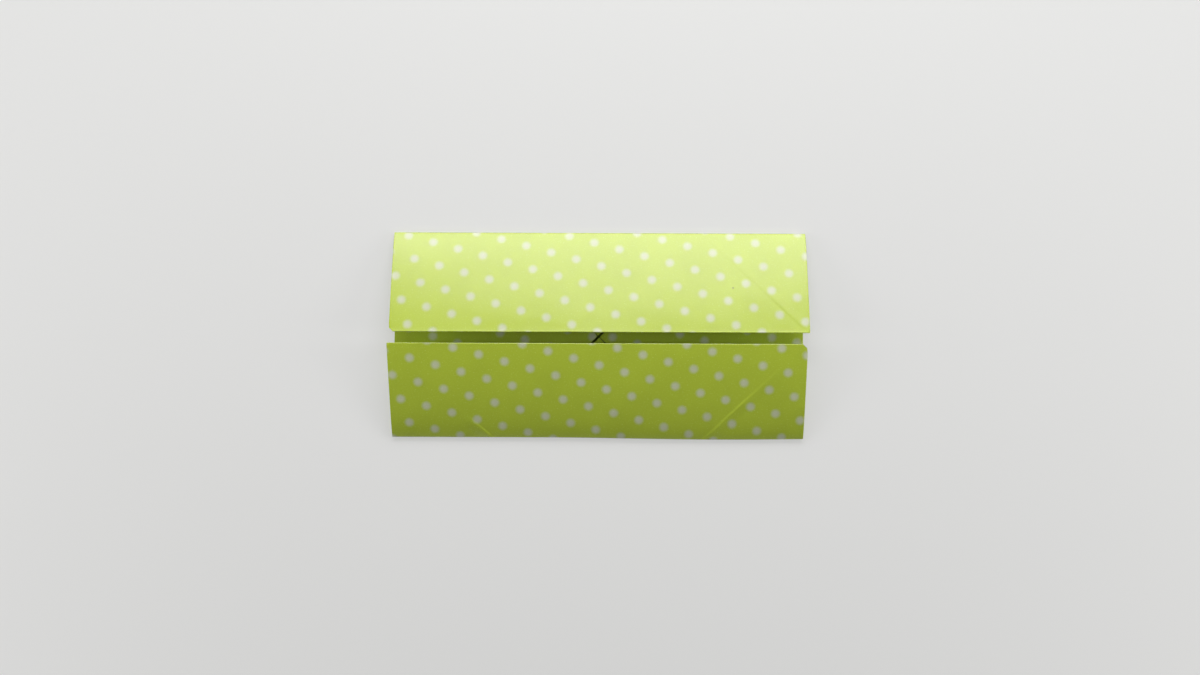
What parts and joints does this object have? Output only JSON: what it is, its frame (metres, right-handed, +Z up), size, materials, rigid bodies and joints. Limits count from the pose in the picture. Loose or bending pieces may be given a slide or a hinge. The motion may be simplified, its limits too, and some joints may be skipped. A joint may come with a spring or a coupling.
{
  "type": "part-folded origami box",
  "caption": "Sheet of paper part folded into an origami box: corners turned in to the middle, and long flaps that lift on their creases and open to release them.",
  "frame": {"origin": "middle of the box's footprint, on the surface that it lies on", "axes": "+X along the creases and the gap between the flaps, +Y to the back flap, +Z up"},
  "size_m": [0.106, 0.0528, 0.0086],
  "materials": {
    "printed_paper": "matt, yellow-green with white dots on one side, white on the other"
  },
  "bodies": {
    "base": {"base_panel": "printed_paper"},
    "back_flap": {"back_flap": "printed_paper"},
    "front_flap": {"front_flap": "printed_paper"}
  },
  "joints": [
    {"name": "back_crease", "type": "hinge", "parent": "base", "child": "back_flap", "pos_m": [0, 0.02648, 0.00033], "axis": [-1, 0, 0], "range_deg": [-17.2, 162.8], "stiffness_Nm_per_rad": 0.0008, "springref_deg": 4.01},
    {"name": "front_crease", "type": "hinge", "parent": "base", "child": "front_flap", "pos_m": [0, -0.02645, 0.00033], "axis": [1, 0, 0], "range_deg": [-18.1, 161.9], "stiffness_Nm_per_rad": 0.0008, "springref_deg": 3.72}
  ]
}
